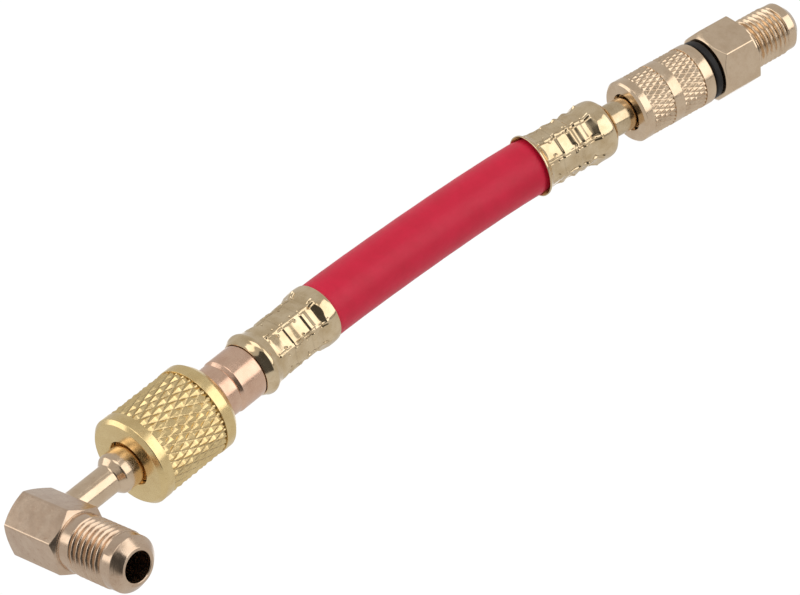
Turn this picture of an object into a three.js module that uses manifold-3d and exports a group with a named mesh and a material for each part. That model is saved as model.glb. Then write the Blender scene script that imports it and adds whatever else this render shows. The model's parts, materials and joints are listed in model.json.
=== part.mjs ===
// A short charging-hose adapter for refrigerant service: a brass elbow with a 1/4 in. SAE male flare,
// held by a knurled swivel nut on the fitting of a crimped rubber hose, whose other end carries a
// knurled coupler sleeve and a hexagonal outlet adapter with a second 1/4 in. SAE male flare.
// Millimetres, +Z up. It lies on its nut and on the hexagon, with both axes level.
//
// Stations marked S run along the first axis, from the elbow's arm to the hose.
// Stations marked A run along the second axis, and 0 is the near face of the outlet's hexagon.
import * as THREE from "three";
import { mergeVertices } from "three/addons/utils/BufferGeometryUtils.js";
import Module from "manifold-3d";

// Fits
const RUNNING_GAP = 0.3; // between pieces that turn or touch
const BRAZE_GAP = 0.1; // round the stem in the elbow's socket

// Male flare, 7/16 in. - 20, with a 45 degree nose
const THREAD_DIAMETER = 11.11;
const THREAD_PITCH = 1.27;
const THREAD_DEPTH = 0.72;
const THREAD_CREST = 0.2;
const FLARE_NOSE_DIAMETER = 10.7; // of the plain land behind the nose
const FLARE_RIM_DIAMETER = 7.2; // of the flat ring that the nose ends in
const NECK_DIAMETER = 10.9;

// Elbow, turned from hexagonal bar
const ELBOW_HEX = 12.0; // across flats
const ELBOW_HEX_LENGTH = 13.6;
const ELBOW_BACK = 4.6; // from the stem's axis to the back of the bar
const ELBOW_NECK_LENGTH = 2.5;
const ELBOW_THREAD_TURNS = 7;
const ELBOW_LAND_LENGTH = 2;
const ELBOW_BORE = 5.9;
const ELBOW_BORE_PAST_STEM = 2.0; // how far the bore runs past the stem's axis
const HEX_CHAMFER = 0.75; // along the bar, at each end of a hexagon
const HEX_CHAMFER_DROP = 1.2; // from the corner towards the axis

// Stem between the elbow and the nut
const STEM_DIAMETER = 5.8;
const STEM_BORE = 3.8;
const STEM_SOCKET_DEPTH = 2.7;
const STEM_CONE_START = 15.4; // S
const STEM_CONE_LENGTH = 1.3;
const STEM_COLLAR_DIAMETER = 8.2;
const STEM_HEAD_DIAMETER = 10.9;
const STEM_HEAD_LENGTH = 2.5;
const SEAT_MOUTH_DIAMETER = 9.4; // of the 45 degree seat in the stem's head

// Swivel nut
const ARM_TO_NUT = 20.4; // S of the nut's near face
const NUT_DIAMETER = 18.5;
const NUT_LENGTH = 20.5;
const NUT_NEAR_CHAMFER = 0.9;
const NUT_FAR_CHAMFER = 1.25;
const NUT_WALL = 3.2; // the end wall that holds the stem's head
const NUT_HOLE = 9.24;
const NUT_MOUTH_CHAMFER = 0.45;

// Hose-end fitting
const FITTING_NECK_LENGTH = 11.1; // from the nut to the ferrule
const FITTING_RING_LENGTH = 1.2;
const FITTING_RING_DIAMETER = 11.6;
const FITTING_SHANK_DIAMETER = 10.8;
const FITTING_GROOVE_START = 4.8; // from the nut's far face
const FITTING_GROOVE_WIDTH = 0.6;
const FITTING_GROOVE_DIAMETER = 10.0;
const FITTING_BODY_DIAMETER = 11.2;
const FITTING_BORE = 3.8;
const BODY_INSET = 1.0; // how far the body reaches into the ferrule

// Hose and its tails
const HOSE_DIAMETER = 12.0;
const HOSE_BORE = 5.0;
const HOSE_CRIMPED_DIAMETER = 10.1;
const FAR_LIP_DEPTH = 1.3; // the far ferrule's mouth is that deep at the hose's whole diameter
const FAR_LIP_TAPER = 0.9; // and narrows over that length to the crimped one
const HOSE_STRETCHED_BORE = 6.7; // over a tail
const TAIL_DIAMETER = 5.6;
const TAIL_BARB_DIAMETER = 6.1;
const TAIL_BARBS = 2;
const TAIL_INSET = 2.2; // from a tail's tip to the ferrule's hose end
const HOSE_RUN = 60.1; // along S, from one ferrule to the other
const HOSE_SHIFT = 4.5; // sideways, towards the elbow's arm
const HOSE_TURN = 13.43; // degrees between the two axes
const HOSE_START_REACH = 10; // length of the curve's straight lead at the first ferrule
const HOSE_END_REACH = 14; // and at the second

// Ferrules, crimped tube
const FERRULE_WALL = 0.45;
const NEAR_FERRULE_LENGTH = 20.2;
const NEAR_FERRULE_RIM = 13.3; // diameter of the rounded rim beside the fitting
const NEAR_FERRULE_SWELL = 12.9; // diameter of the swell beside the hose
const FERRULE_WAIST = 11.5; // diameter of the crimped part
const FAR_FERRULE_LENGTH = 19.9;
const FAR_FERRULE_LIP = 13.5; // diameter of the flared lip beside the hose
const FAR_FERRULE_DOME = 12.9; // diameter of the dome beside the stem
const FERRULE_HOLE_GAP = 0.35; // round the stem and the fitting's body

// Outlet stem
const OUTLET_STEM_DIAMETER = 7.2;
const OUTLET_STEM_BORE = 4.0;
const OUTLET_STEM_SHOWN = 5.4; // between the dome and the sleeve
const OUTLET_COLLAR_DIAMETER = 10.8;
const OUTLET_COLLAR_LENGTH = 3.0;
const OUTLET_HEAD_DIAMETER = 10.5;
const OUTLET_HEAD_LENGTH = 2.3;
const OUTLET_SEAT_DIAMETER = 9.2;

// Coupler sleeve and gasket
const SLEEVE_DIAMETER = 13.66;
const SLEEVE_LENGTH = 19.1;
const SLEEVE_HOLE = 8.2;
const SLEEVE_WALL = 5.7; // the end wall that holds the stem's head
const SLEEVE_NEAR_CHAMFER = 0.5;
const SLEEVE_FAR_CHAMFER = 0.2;
const SLEEVE_TO_HEX = 2.24;
const GASKET_DIAMETER = 13.2;

// Outlet adapter
const OUTLET_HEX = 14.5; // across flats
const OUTLET_HEX_LENGTH = 9.2;
const OUTLET_HEX_ROLL = 6.5; // degrees that a corner leans from straight down
const OUTLET_FACE_DIAMETER = 14.0; // of the round end face beside the gasket
const OUTLET_NECK_LENGTH = 1.3;
const OUTLET_THREAD_TURNS = 7;
const OUTLET_LAND_LENGTH = 1.7;
const OUTLET_BORE = 5.2;
const SHANK_DIAMETER = 10.6; // of the end screwed into the sleeve

// Facets
const SIDES = 28;
const NUT_SIDES = 40;
const CUT_PAST = 1; // how far a cutting body runs past the face that it cuts
const HOSE_SIDES = 24;
const HOSE_STEPS = 14;

// Worked-out sizes
const threadRadius = THREAD_DIAMETER / 2;
const noseLength = (FLARE_NOSE_DIAMETER - FLARE_RIM_DIAMETER) / 2;
const seatGap = RUNNING_GAP * Math.SQRT2; // across a 45 degree seat, measured from the axis
const nutBore = THREAD_DIAMETER + 2 * RUNNING_GAP;
const nutFar = ARM_TO_NUT + NUT_LENGTH;
const nearFerrule = nutFar + FITTING_NECK_LENGTH;
const hoseStart = nearFerrule + NEAR_FERRULE_LENGTH;
const headStart = ARM_TO_NUT + NUT_WALL + RUNNING_GAP;
const headEnd = headStart + STEM_HEAD_LENGTH;
const farFerruleEnd = -(SLEEVE_TO_HEX + SLEEVE_LENGTH + OUTLET_STEM_SHOWN);
const hoseEnd = farFerruleEnd - FAR_FERRULE_LENGTH;
const sleeveNear = -(SLEEVE_TO_HEX + SLEEVE_LENGTH);
const outletHeadStart = sleeveNear + SLEEVE_WALL + RUNNING_GAP;
const outletHeadEnd = outletHeadStart + OUTLET_HEAD_LENGTH;
const ferruleInner = HOSE_CRIMPED_DIAMETER / 2 + RUNNING_GAP;
const nearAxisHeight = NUT_DIAMETER / 2;
const farAxisHeight = cornerRadius(OUTLET_HEX) * Math.cos(THREE.MathUtils.degToRad(OUTLET_HEX_ROLL));

const wasm = await Module();
wasm.setup();

function cornerRadius(acrossFlats) {
  return acrossFlats / Math.sqrt(3);
}

function solidOf(geometry) {
  const bare = geometry.index ? geometry.toNonIndexed() : geometry;
  const points = new THREE.BufferGeometry();
  points.setAttribute("position", bare.getAttribute("position"));
  const merged = mergeVertices(points, 1e-4);
  return new wasm.Manifold(
    new wasm.Mesh({
      numProp: 3,
      vertProperties: merged.attributes.position.array,
      triVerts: new Uint32Array(merged.index.array),
    }),
  );
}

function geometryOf(solid) {
  const made = solid.getMesh();
  const geometry = new THREE.BufferGeometry();
  geometry.setAttribute("position", new THREE.BufferAttribute(made.vertProperties, 3));
  geometry.setIndex(new THREE.BufferAttribute(made.triVerts, 1));
  geometry.computeVertexNormals();
  return geometry;
}

// A solid turned about the local X axis. The profile is a list of [radius, station]: it runs outside
// in the direction of X and comes back inside, and it is closed unless it starts on the axis.
function turned(profile, sides = SIDES) {
  const points = profile.map(([radius, station]) => new THREE.Vector2(radius, station));
  if (profile[0][0] > 0) points.push(points[0].clone());
  return solidOf(new THREE.LatheGeometry(points, sides).rotateZ(-Math.PI / 2));
}

function rod(radius, from, to, sides = SIDES) {
  return turned([[0, from], [radius, from], [radius, to], [0, to]], sides);
}

// A hexagonal bar along X. The corner angle is measured from Y towards Z.
function hexBar(acrossFlats, from, to, cornerAngle) {
  const radius = cornerRadius(acrossFlats);
  const outline = [...Array(6).keys()].map((i) => {
    const angle = THREE.MathUtils.degToRad(cornerAngle + 60 * i);
    return new THREE.Vector2(-radius * Math.sin(angle), radius * Math.cos(angle));
  });
  const bar = new THREE.ExtrudeGeometry(new THREE.Shape(outline), { depth: to - from, bevelEnabled: false });
  return solidOf(bar.rotateY(Math.PI / 2).translate(from, 0, 0));
}

// The outside of a male flare end, from the face of its hexagon to the flat ring at its tip.
function flareEnd(start, neckLength, turns, landLength) {
  const threadStart = start + neckLength;
  const threadEnd = threadStart + turns * THREAD_PITCH;
  const landEnd = threadEnd + landLength;
  const root = threadRadius - THREAD_DEPTH;
  const profile = [[NECK_DIAMETER / 2, start], [NECK_DIAMETER / 2, threadStart - THREAD_CREST]];
  for (let i = 0; i < turns; i++) {
    const middle = threadStart + (i + 0.5) * THREAD_PITCH;
    profile.push([root, middle - THREAD_PITCH / 2]);
    profile.push([threadRadius, middle - THREAD_CREST / 2]);
    profile.push([threadRadius, middle + THREAD_CREST / 2]);
  }
  profile.push([root, threadEnd]);
  profile.push([FLARE_NOSE_DIAMETER / 2, threadEnd + THREAD_DEPTH / 2]);
  profile.push([FLARE_NOSE_DIAMETER / 2, landEnd]);
  profile.push([FLARE_RIM_DIAMETER / 2, landEnd + noseLength]);
  return profile;
}

function flareTip(start, neckLength, turns, landLength) {
  return start + neckLength + turns * THREAD_PITCH + landLength + noseLength;
}

// The barbed outside of a tail, from its tip towards the fitting.
function tailProfile(length) {
  const tip = 0.4;
  const step = (length - 2 * tip) / (TAIL_BARBS + 1);
  const profile = [[TAIL_DIAMETER / 2 - tip / 2, 0]];
  for (let i = 0; i < TAIL_BARBS; i++) {
    profile.push([TAIL_DIAMETER / 2, tip + i * step]);
    profile.push([TAIL_BARB_DIAMETER / 2, tip + (i + 0.8) * step]);
    profile.push([TAIL_DIAMETER / 2, tip + (i + 0.85) * step]);
  }
  profile.push([TAIL_DIAMETER / 2, length]);
  return profile;
}

function makeElbowBody() {
  const back = -ELBOW_BACK;
  const front = back + ELBOW_HEX_LENGTH;
  const corner = cornerRadius(ELBOW_HEX);
  const tip = flareTip(front, ELBOW_NECK_LENGTH, ELBOW_THREAD_TURNS, ELBOW_LAND_LENGTH);
  const chamfers = turned([
    [0, back],
    [corner - HEX_CHAMFER_DROP, back],
    [corner, back + HEX_CHAMFER],
    [corner, front - HEX_CHAMFER],
    [corner - HEX_CHAMFER_DROP, front],
    [0, front],
  ]);
  const bar = hexBar(ELBOW_HEX, back, front, 90).intersect(chamfers);
  const flare = flareEnd(front, ELBOW_NECK_LENGTH, ELBOW_THREAD_TURNS, ELBOW_LAND_LENGTH);
  const arm = turned([[0, 0], [NECK_DIAMETER / 2, 0], ...flare, [0, tip]]);
  const bore = rod(ELBOW_BORE / 2, -ELBOW_BORE_PAST_STEM, tip + CUT_PAST);
  const face = ELBOW_HEX / 2;
  const socket = rod(STEM_DIAMETER / 2 + BRAZE_GAP, face - STEM_SOCKET_DEPTH, face + CUT_PAST);
  const passage = rod(STEM_BORE / 2, 0, face);
  const sideHole = socket.add(passage).rotate([0, 0, 90]);
  return bar.add(arm).subtract(bore).subtract(sideHole);
}

function makeElbowStem() {
  const foot = ELBOW_HEX / 2 - STEM_SOCKET_DEPTH + BRAZE_GAP;
  const coneEnd = STEM_CONE_START + STEM_CONE_LENGTH;
  const bore = STEM_BORE / 2;
  const seatDepth = SEAT_MOUTH_DIAMETER / 2 - bore;
  return turned([
    [STEM_DIAMETER / 2, foot],
    [STEM_DIAMETER / 2, STEM_CONE_START],
    [STEM_COLLAR_DIAMETER / 2, coneEnd],
    [STEM_COLLAR_DIAMETER / 2, headStart],
    [STEM_HEAD_DIAMETER / 2, headStart],
    [STEM_HEAD_DIAMETER / 2, headEnd],
    [SEAT_MOUTH_DIAMETER / 2, headEnd],
    [bore, headEnd - seatDepth],
    [bore, foot],
  ]);
}

function makeFlareNut() {
  const radius = NUT_DIAMETER / 2;
  const inside = nutBore / 2;
  return turned([
    [radius - NUT_NEAR_CHAMFER, ARM_TO_NUT],
    [radius, ARM_TO_NUT + NUT_NEAR_CHAMFER],
    [radius, nutFar - NUT_FAR_CHAMFER],
    [radius - NUT_FAR_CHAMFER, nutFar],
    [inside + NUT_MOUTH_CHAMFER, nutFar],
    [inside, nutFar - NUT_MOUTH_CHAMFER],
    [inside, ARM_TO_NUT + NUT_WALL],
    [NUT_HOLE / 2, ARM_TO_NUT + NUT_WALL],
    [NUT_HOLE / 2, ARM_TO_NUT],
  ], NUT_SIDES);
}

function makeHoseEndFitting() {
  const bore = FITTING_BORE / 2;
  const noseRadius = SEAT_MOUTH_DIAMETER / 2 - seatGap; // of the nose where the seat's mouth is
  const noseTip = FLARE_RIM_DIAMETER / 2 - RUNNING_GAP;
  const shank = FITTING_SHANK_DIAMETER / 2;
  const body = FITTING_BODY_DIAMETER / 2;
  const groove = nutFar + FITTING_GROOVE_START;
  const ringStart = nutFar + RUNNING_GAP;
  const ringEnd = ringStart + FITTING_RING_LENGTH;
  const shoulder = nearFerrule + BODY_INSET;
  const tailLength = hoseStart - TAIL_INSET - shoulder;
  const tail = tailProfile(tailLength).map(([radius, station]) => [radius, shoulder + tailLength - station]);
  return turned([
    [noseTip, headEnd - (noseRadius - noseTip)],
    [threadRadius, headEnd + threadRadius - noseRadius],
    [threadRadius, ringStart - THREAD_PITCH],
    [shank, ringStart - THREAD_PITCH / 2],
    [shank, ringStart],
    [FITTING_RING_DIAMETER / 2, ringStart],
    [FITTING_RING_DIAMETER / 2, ringEnd],
    [shank, ringEnd],
    [shank, groove],
    [FITTING_GROOVE_DIAMETER / 2, groove + FITTING_GROOVE_WIDTH / 4],
    [FITTING_GROOVE_DIAMETER / 2, groove + FITTING_GROOVE_WIDTH / 2],
    [body, groove + FITTING_GROOVE_WIDTH],
    [body, shoulder],
    ...tail.reverse(),
    [bore, hoseStart - TAIL_INSET],
    [bore, headEnd - (noseRadius - noseTip)],
  ]);
}

// The second axis starts at this point of the first axis's frame and is turned by HOSE_TURN.
const turn = -THREE.MathUtils.degToRad(HOSE_TURN);
const farDirection = new THREE.Vector3(Math.cos(turn), Math.sin(turn), 0);
const hoseFarPoint = new THREE.Vector3(hoseStart + HOSE_RUN, -HOSE_SHIFT, farAxisHeight - nearAxisHeight);
const outletPoint = hoseFarPoint.clone().addScaledVector(farDirection, -hoseEnd);

function hoseSweep(radius, path) {
  const section = [...Array(HOSE_SIDES).keys()].map((i) => {
    const angle = (2 * Math.PI * i) / HOSE_SIDES;
    return new THREE.Vector2(radius * Math.cos(angle), radius * Math.sin(angle));
  });
  return solidOf(
    new THREE.ExtrudeGeometry(new THREE.Shape(section), {
      steps: HOSE_STEPS,
      extrudePath: path,
      bevelEnabled: false,
    }),
  );
}

function onFarAxis(solid) {
  return solid.rotate([0, 0, -HOSE_TURN]).translate(outletPoint.toArray());
}

function makeHose() {
  const lipDepth = 1.0; // how far the whole hose reaches into the flared lip
  const start = new THREE.Vector3(hoseStart + RUNNING_GAP, 0, 0);
  const end = hoseFarPoint.clone().addScaledVector(farDirection, lipDepth);
  const path = new THREE.CubicBezierCurve3(
    start,
    start.clone().setX(start.x + HOSE_START_REACH),
    end.clone().addScaledVector(farDirection, -HOSE_END_REACH),
    end,
  );
  const crimped = HOSE_CRIMPED_DIAMETER / 2;
  const stretched = HOSE_STRETCHED_BORE / 2;
  const nearEnd = nearFerrule + BODY_INSET + RUNNING_GAP;
  const farEnd = farFerruleEnd - OUTLET_COLLAR_LENGTH - 2 * FERRULE_HOLE_GAP - 2 * RUNNING_GAP - FERRULE_WALL;
  const overlap = 0.5;
  const outside = hoseSweep(HOSE_DIAMETER / 2, path)
    .add(rod(crimped, nearEnd, hoseStart + RUNNING_GAP + overlap, HOSE_SIDES))
    .add(onFarAxis(rod(crimped, hoseEnd + lipDepth - overlap, farEnd, HOSE_SIDES)));
  const inside = hoseSweep(HOSE_BORE / 2, path)
    .add(rod(stretched, nearEnd - 1, hoseStart - TAIL_INSET + RUNNING_GAP, HOSE_SIDES))
    .add(rod(HOSE_BORE / 2, nearEnd, hoseStart + RUNNING_GAP + overlap, HOSE_SIDES))
    .add(onFarAxis(rod(HOSE_BORE / 2, hoseEnd + lipDepth - overlap, farEnd, HOSE_SIDES)))
    .add(onFarAxis(rod(stretched, hoseEnd + TAIL_INSET - RUNNING_GAP, farEnd + 1, HOSE_SIDES)));
  return outside.subtract(inside);
}

function makeNearFerrule() {
  const waist = FERRULE_WAIST / 2;
  const rim = NEAR_FERRULE_RIM / 2;
  const swell = NEAR_FERRULE_SWELL / 2;
  const mouth = FITTING_BODY_DIAMETER / 2 + FERRULE_HOLE_GAP;
  const mouthDepth = BODY_INSET + RUNNING_GAP;
  const outside = [
    [mouth + 0.1, 0],
    [rim - 0.35, 0.25],
    [rim - 0.05, 0.9],
    [rim, 1.7],
    [rim - 0.1, 2.9],
    [waist + 0.45, 4.9],
    [waist + 0.15, 7.2],
    [waist, 10.5],
    [waist, 13.6],
    [waist + 0.15, 15.2],
    [swell - 0.25, 16.9],
    [swell, 18.2],
    [swell - 0.12, 19.4],
    [HOSE_DIAMETER / 2 + 0.1, NEAR_FERRULE_LENGTH],
  ];
  return turned([
    ...outside.map(([radius, along]) => [radius, nearFerrule + along]),
    [ferruleInner, hoseStart],
    [ferruleInner, nearFerrule + mouthDepth],
    [mouth, nearFerrule + mouthDepth],
    [mouth, nearFerrule],
  ]);
}

function makeFarFerrule() {
  const waist = FERRULE_WAIST / 2;
  const lip = FAR_FERRULE_LIP / 2;
  const dome = FAR_FERRULE_DOME / 2;
  const hole = OUTLET_STEM_DIAMETER / 2 + FERRULE_HOLE_GAP;
  const collar = OUTLET_COLLAR_DIAMETER / 2 + RUNNING_GAP;
  const hoseWhole = HOSE_DIAMETER / 2 + RUNNING_GAP;
  const collarDepth = FERRULE_WALL + OUTLET_COLLAR_LENGTH + 2 * RUNNING_GAP + 2 * FERRULE_HOLE_GAP;
  const outside = [
    [lip - 0.1, 0],
    [lip, 0.15],
    [lip - 0.15, 0.8],
    [waist + 0.35, 1.8],
    [waist + 0.02, 2.9],
    [waist, 5.5],
    [waist, 9.4],
    [waist + 0.1, 11.7],
    [waist + 0.35, 13.4],
    [dome - 0.06, 15.1],
    [dome, 16.2],
    [dome - 0.12, 17.4],
    [dome - 0.45, 18.4],
    [dome - 1.1, 19.3],
    [dome - 2.0, 19.8],
    [hole, FAR_FERRULE_LENGTH],
  ];
  const depth = FAR_FERRULE_LENGTH;
  return turned([
    ...outside.map(([radius, along]) => [radius, hoseEnd + along]),
    [hole, farFerruleEnd - FERRULE_WALL],
    [collar, farFerruleEnd - FERRULE_WALL - FERRULE_HOLE_GAP],
    [collar, hoseEnd + depth - collarDepth],
    [ferruleInner, hoseEnd + depth - collarDepth],
    [ferruleInner, hoseEnd + FAR_LIP_DEPTH + FAR_LIP_TAPER],
    [hoseWhole, hoseEnd + FAR_LIP_DEPTH],
    [hoseWhole, hoseEnd],
  ]);
}

function makeOutletStem() {
  const radius = OUTLET_STEM_DIAMETER / 2;
  const bore = OUTLET_STEM_BORE / 2;
  const collarEnd = farFerruleEnd - FERRULE_WALL - FERRULE_HOLE_GAP - RUNNING_GAP;
  const collarStart = collarEnd - OUTLET_COLLAR_LENGTH;
  const tailTip = hoseEnd + TAIL_INSET;
  const seatDepth = OUTLET_SEAT_DIAMETER / 2 - bore;
  const tail = tailProfile(collarStart - tailTip).map(([r, station]) => [r, tailTip + station]);
  return turned([
    ...tail,
    [OUTLET_COLLAR_DIAMETER / 2, collarStart],
    [OUTLET_COLLAR_DIAMETER / 2, collarEnd],
    [radius, collarEnd],
    [radius, outletHeadStart],
    [OUTLET_HEAD_DIAMETER / 2, outletHeadStart],
    [OUTLET_HEAD_DIAMETER / 2, outletHeadEnd],
    [OUTLET_SEAT_DIAMETER / 2, outletHeadEnd],
    [bore, outletHeadEnd - seatDepth],
    [bore, tailTip],
  ]);
}

function makeCouplerSleeve() {
  const radius = SLEEVE_DIAMETER / 2;
  const far = -SLEEVE_TO_HEX;
  const inside = OUTLET_HEAD_DIAMETER / 2 + RUNNING_GAP + BRAZE_GAP;
  return turned([
    [radius - SLEEVE_NEAR_CHAMFER, sleeveNear],
    [radius, sleeveNear + 1.6 * SLEEVE_NEAR_CHAMFER],
    [radius, far - 2 * SLEEVE_FAR_CHAMFER],
    [radius - SLEEVE_FAR_CHAMFER, far],
    [inside, far],
    [inside, sleeveNear + SLEEVE_WALL],
    [SLEEVE_HOLE / 2, sleeveNear + SLEEVE_WALL],
    [SLEEVE_HOLE / 2, sleeveNear],
  ]);
}

function makeGasket() {
  const inner = SHANK_DIAMETER / 2 + RUNNING_GAP;
  const outer = GASKET_DIAMETER / 2;
  const near = -SLEEVE_TO_HEX + RUNNING_GAP;
  const edge = 0.2;
  return turned([
    [outer - edge, near],
    [outer, near + edge],
    [outer, -RUNNING_GAP - edge],
    [outer - edge, -RUNNING_GAP],
    [inner, -RUNNING_GAP],
    [inner, near],
  ]);
}

function makeOutletAdapter() {
  const end = OUTLET_HEX_LENGTH;
  const corner = cornerRadius(OUTLET_HEX);
  const chamfers = turned([
    [0, 0],
    [OUTLET_FACE_DIAMETER / 2, 0],
    [corner, 1.1 * (corner - OUTLET_FACE_DIAMETER / 2)],
    [corner, end - HEX_CHAMFER],
    [corner - HEX_CHAMFER_DROP, end],
    [0, end],
  ]);
  const bar = hexBar(OUTLET_HEX, 0, end, 90 - OUTLET_HEX_ROLL).intersect(chamfers);
  const tip = flareTip(end, OUTLET_NECK_LENGTH, OUTLET_THREAD_TURNS, OUTLET_LAND_LENGTH);
  const flare = flareEnd(end, OUTLET_NECK_LENGTH, OUTLET_THREAD_TURNS, OUTLET_LAND_LENGTH);
  const shank = SHANK_DIAMETER / 2;
  const noseRadius = OUTLET_SEAT_DIAMETER / 2 - seatGap;
  const noseTip = OUTLET_BORE / 2 + RUNNING_GAP;
  const noseStart = outletHeadEnd - (noseRadius - noseTip);
  const turnedPart = turned([
    [0, noseStart],
    [noseTip, noseStart],
    [shank, outletHeadEnd + shank - noseRadius],
    [shank, 1],
    [NECK_DIAMETER / 2, 1],
    ...flare,
    [0, tip],
  ]);
  return bar.add(turnedPart).subtract(rod(OUTLET_BORE / 2, noseStart - CUT_PAST, tip + CUT_PAST));
}

const roseBrass = { color: 0xbea58c, roughness: 0.28, metalness: 1 };
const yellowBrass = { color: 0xcdb97d, roughness: 0.3, metalness: 1 };
const palePlating = { color: 0xb9a57d, roughness: 0.2, metalness: 1 };
const copperBrass = { color: 0xc09a80, roughness: 0.25, metalness: 1 };
const redRubber = { color: 0xcd304b, roughness: 0.55, metalness: 0 };
const blackRubber = { color: 0x1c1815, roughness: 0.6, metalness: 0 };

function meshOf(name, solid, look) {
  const mesh = new THREE.Mesh(geometryOf(solid), new THREE.MeshStandardMaterial(look));
  mesh.name = name;
  return mesh;
}

const nearAxis = new THREE.Group();
nearAxis.position.z = nearAxisHeight;

const arm = new THREE.Group();
arm.rotation.z = -Math.PI / 2;
arm.add(meshOf("elbow_body", makeElbowBody(), roseBrass));
nearAxis.add(arm);
nearAxis.add(meshOf("elbow_stem", makeElbowStem(), roseBrass));
nearAxis.add(meshOf("flare_nut", makeFlareNut(), yellowBrass));
nearAxis.add(meshOf("hose_end_fitting", makeHoseEndFitting(), copperBrass));
nearAxis.add(meshOf("ferrule_nut_end", makeNearFerrule(), palePlating));
nearAxis.add(meshOf("hose", makeHose(), redRubber));

const farAxis = new THREE.Group();
farAxis.position.copy(outletPoint);
farAxis.rotation.z = turn;
farAxis.add(meshOf("ferrule_outlet_end", makeFarFerrule(), palePlating));
farAxis.add(meshOf("outlet_stem", makeOutletStem(), palePlating));
farAxis.add(meshOf("coupler_sleeve", makeCouplerSleeve(), roseBrass));
farAxis.add(meshOf("gasket", makeGasket(), blackRubber));
farAxis.add(meshOf("outlet_adapter", makeOutletAdapter(), roseBrass));
nearAxis.add(farAxis);

// The origin is the middle of the footprint.
const part = new THREE.Group();
part.add(nearAxis);
const box = new THREE.Box3().setFromObject(part, true);
const middle = box.getCenter(new THREE.Vector3());
nearAxis.position.x = -middle.x;
nearAxis.position.y = -middle.y;

export default part;
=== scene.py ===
import json
import math
import bpy
import numpy as np
from mathutils import Matrix, Vector


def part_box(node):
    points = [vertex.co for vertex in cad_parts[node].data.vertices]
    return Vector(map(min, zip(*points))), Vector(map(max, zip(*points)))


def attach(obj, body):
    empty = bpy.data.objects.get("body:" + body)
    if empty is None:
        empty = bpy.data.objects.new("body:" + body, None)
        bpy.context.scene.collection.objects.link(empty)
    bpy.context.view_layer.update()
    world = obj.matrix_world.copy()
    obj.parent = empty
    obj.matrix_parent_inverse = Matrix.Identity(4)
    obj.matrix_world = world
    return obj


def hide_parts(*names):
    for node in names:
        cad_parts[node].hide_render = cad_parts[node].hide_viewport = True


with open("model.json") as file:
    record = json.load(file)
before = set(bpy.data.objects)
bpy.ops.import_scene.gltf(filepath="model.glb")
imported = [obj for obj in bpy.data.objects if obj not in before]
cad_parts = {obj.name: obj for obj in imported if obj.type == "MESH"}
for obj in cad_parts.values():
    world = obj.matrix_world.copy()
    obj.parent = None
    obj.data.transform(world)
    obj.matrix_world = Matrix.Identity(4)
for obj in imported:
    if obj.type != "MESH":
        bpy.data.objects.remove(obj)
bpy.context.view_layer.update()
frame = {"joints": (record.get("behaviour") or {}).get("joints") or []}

MM = 0.001
joints = {j["name"]: j for j in frame["joints"]}

# The two axes of the part, in millimetres, taken from the CAD.
elbow_low, elbow_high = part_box("elbow_body")
NUT_HEIGHT = 9.25
ARM_BACK = 4.6
ARM_POINT = Vector(((elbow_low.x + elbow_high.x) / 2 / MM, elbow_high.y / MM - ARM_BACK, NUT_HEIGHT))
FAR_POINT = Vector(joints["outlet_screw"]["pos_m"]) / MM
FAR_AXIS = Vector(joints["outlet_screw"]["axis"]).normalized()


def axes_at(origin, along):
    """Matrix of an axis frame in metres: X along the axis, Z up as far as it goes."""
    x = Vector(along).normalized()
    y = Vector((0, 0, 1)).cross(x).normalized()
    z = x.cross(y)
    turn = Matrix((x, y, z)).transposed().to_4x4()
    return Matrix.Translation(Vector(origin) * MM) @ turn


NEAR = axes_at(ARM_POINT, (1, 0, 0))
ARM = axes_at(ARM_POINT, (0, -1, 0))
FAR = axes_at(FAR_POINT, FAR_AXIS)

# Sizes in millimetres and angles in degrees, unless a comment says otherwise.
# The stations and radii of each turned profile stand in its own function.
TINY = 1e-9
CORNER_SHARE = 0.45  # of an edge that a rounded corner may take
EDGE_CUT = 0.22 / 3  # off the corners of a hexagon
EDGE_BLEND = 0.02

THREAD_R = 5.555
PITCH = 1.27
THREAD_TURNS = 7
THREAD_STEPS = 16  # rows in a turn
THREAD_FADE = 0.35  # of a pitch, at either end
FORM_GAIN = 1.28
FORM_SHIFT = 0.12
FORM_ROUNDING = 0.35  # 0 is a sharp form
LEAD_IN_SLOPE = 0.6
RUN_OUT_SLOPE = 0.9
NECK_R = 5.45
NOSE_R = 5.35
RIM_R = 3.6

ELBOW_ACROSS = 12
ELBOW_CORNER = 90
ELBOW_BAR_LENGTH = 13.6
OUTLET_ACROSS = 14.5
OUTLET_CORNER = 83.5
OUTLET_BAR_LENGTH = 9.2
NUT_GROOVES = 32
SLEEVE_GROOVES = 38
SLEEVE_R = 6.83

FERRULE_COLUMNS = 320
DIES = 8
DIE_TURN = 360 / DIES
HALF_DIE = DIE_TURN / 2
FLAT_R = 5.8
FIN_LEAST_R = 5.86
FIN_RISE = 0.22
SEAM_WIDE = 1.7
CREASE_AT = 18.8
CREASE_WIDE = 1.2
CREASE_DEPTH = 0.11
PIT_DEPTH = 0.22
LUMP_WAVES = 22
LUMP_SPREAD = 4.7  # brings the waves' sum to about -1 to 1

HOSE_R = 6.0
HOSE_BORE_R = 2.5
HOSE_START_R = 5.3
HOSE_END_R = [5.8, 5.8, 5.6, 5.2]  # over the last rings, inside the ferrule
HOSE_FOLD = 0.0105
HOSE_STEPS = 60
HOSE_COLUMNS = 72

# Looks
# The dark colour laid into hollows: dirt, and painted shade for the grooves and recesses.
DIRT_AND_PAINTED_SHADE = (0.15, 0.1, 0.065)
HOLLOW_ROUGHNESS = 0.22
TARNISH = (0.72, 0.6, 0.5)  # of the dark colour
WHITE = 1.02
ROOM = 0.55
ROOM_SLOPE = -0.05
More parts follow.
